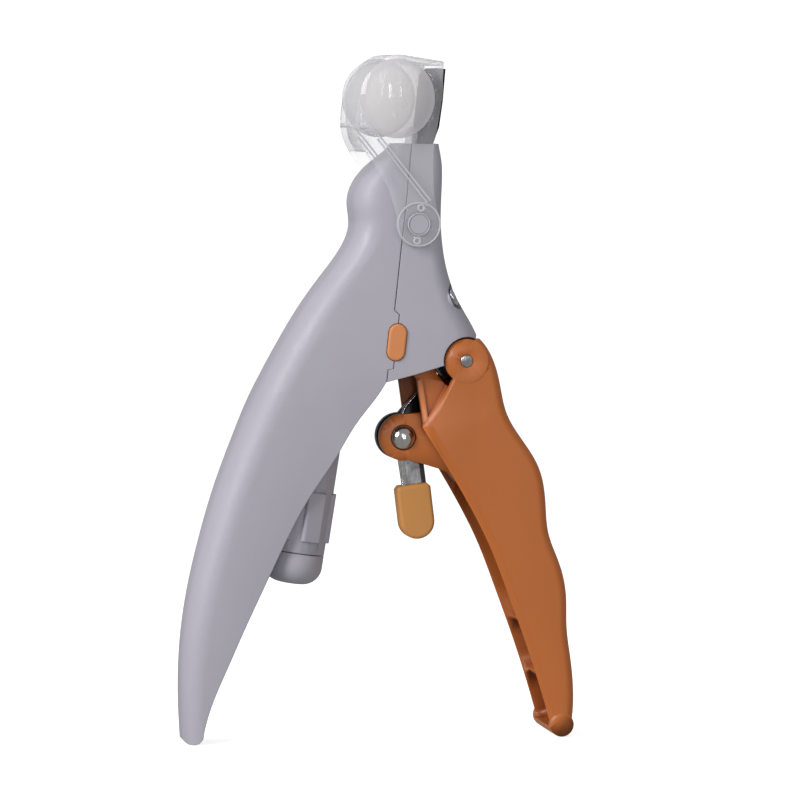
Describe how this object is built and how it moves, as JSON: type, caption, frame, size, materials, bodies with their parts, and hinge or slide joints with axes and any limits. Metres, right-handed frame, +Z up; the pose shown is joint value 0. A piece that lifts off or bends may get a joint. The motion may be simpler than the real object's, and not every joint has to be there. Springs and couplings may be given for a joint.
{
  "type": "pet nail trimmer",
  "caption": "Hand-held guillotine nail trimmer for pets with a hinged clear nail catcher and magnifiers, a lamp, a sprung lever with a swing latch and a battery tube.",
  "frame": {"origin": "on the axis of the nail hole, just behind the cutter strip, where the claw tip sits", "axes": "+Z up the tool from grip ends to cutter head, +X towards the lever, +Y across the thickness away from the switch side"},
  "size_m": [0.0972, 0.0278, 0.1679],
  "materials": {
    "grey_shell": "satin",
    "orange_lever": "satin",
    "orange_button": "satin",
    "mustard_cap": "matte",
    "dark_steel": "blackened",
    "blade_steel": "ground",
    "bright_steel": "polished",
    "chrome_rivet": "polished",
    "black_plastic": "satin",
    "clear_plastic": "clear",
    "lamp_epoxy": "clear",
    "board_green": "satin",
    "wire_red": "satin",
    "wire_black": "satin",
    "cell_steel": "polished"
  },
  "bodies": {
    "body": {"handle_shell": "grey_shell", "front_shell": "grey_shell", "shell_screw": "bright_steel", "slide_guide": "black_plastic", "cutter_head": "dark_steel", "lever_pin": "bright_steel", "return_spring": "bright_steel", "spring_cup": "black_plastic", "circuit_board": "board_green", "tact_switch": "black_plastic", "led": "lamp_epoxy", "lamp_wire_red": "wire_red", "lamp_wire_black": "wire_black", "supply_wire_red": "wire_red", "supply_wire_black": "wire_black", "battery_tube": "grey_shell", "battery_contact": "bright_steel", "battery_spring": "bright_steel", "button_cell_1": "cell_steel", "button_cell_2": "cell_steel", "button_cell_3": "cell_steel"},
    "lever": {"lever": "orange_lever", "drive_pin": "bright_steel", "latch_rivet": "chrome_rivet"},
    "latch": {"latch_strip": "bright_steel", "latch_hub": "black_plastic", "latch_cap": "mustard_cap"},
    "blade_slide": {"blade": "blade_steel", "blade_carrier": "black_plastic", "blade_screw": "bright_steel"},
    "hood": {"nail_catcher": "clear_plastic", "magnifier_near": "clear_plastic", "magnifier_far": "clear_plastic"},
    "button": {"switch_button": "orange_button"},
    "tube_cap": {"battery_cap": "grey_shell"}
  },
  "joints": [
    {"name": "lever_squeeze", "type": "hinge", "parent": "body", "child": "lever", "pos_m": [0.009, 0, -0.0615], "axis": [0, 1, 0], "range_deg": [0, 24], "stiffness_Nm_per_rad": 0.3, "springref_deg": -20.05, "deforming": ["return_spring"]},
    {"name": "blade_travel", "type": "slide", "parent": "body", "child": "blade_slide", "axis": [0.1115, 0, 0.9938], "range_m": [0, 0.00861]},
    {"name": "latch_swing", "type": "hinge", "parent": "lever", "child": "latch", "pos_m": [-0.0057, 0, -0.0804], "axis": [0, 1, 0], "range_deg": [-12, 0]},
    {"name": "hood_swing", "type": "hinge", "parent": "body", "child": "hood", "pos_m": [-0.0034, 0, -0.028], "axis": [0, -1, 0], "range_deg": [0, 75]},
    {"name": "button_press", "type": "slide", "parent": "body", "child": "button", "axis": [0, 1, 0], "range_m": [0, 0.0005], "stiffness_N_per_m": 400, "springref_m": -0.0005},
    {"name": "cap_twist", "type": "hinge", "parent": "body", "child": "tube_cap", "pos_m": [-0.03226, 0, -0.10951], "axis": [0.1564, 0, 0.9877], "range_deg": [0, 90]}
  ],
  "couplings": [
    {"joint": "blade_travel", "follows": "lever_squeeze", "m_per_rad": 0.020549}
  ]
}
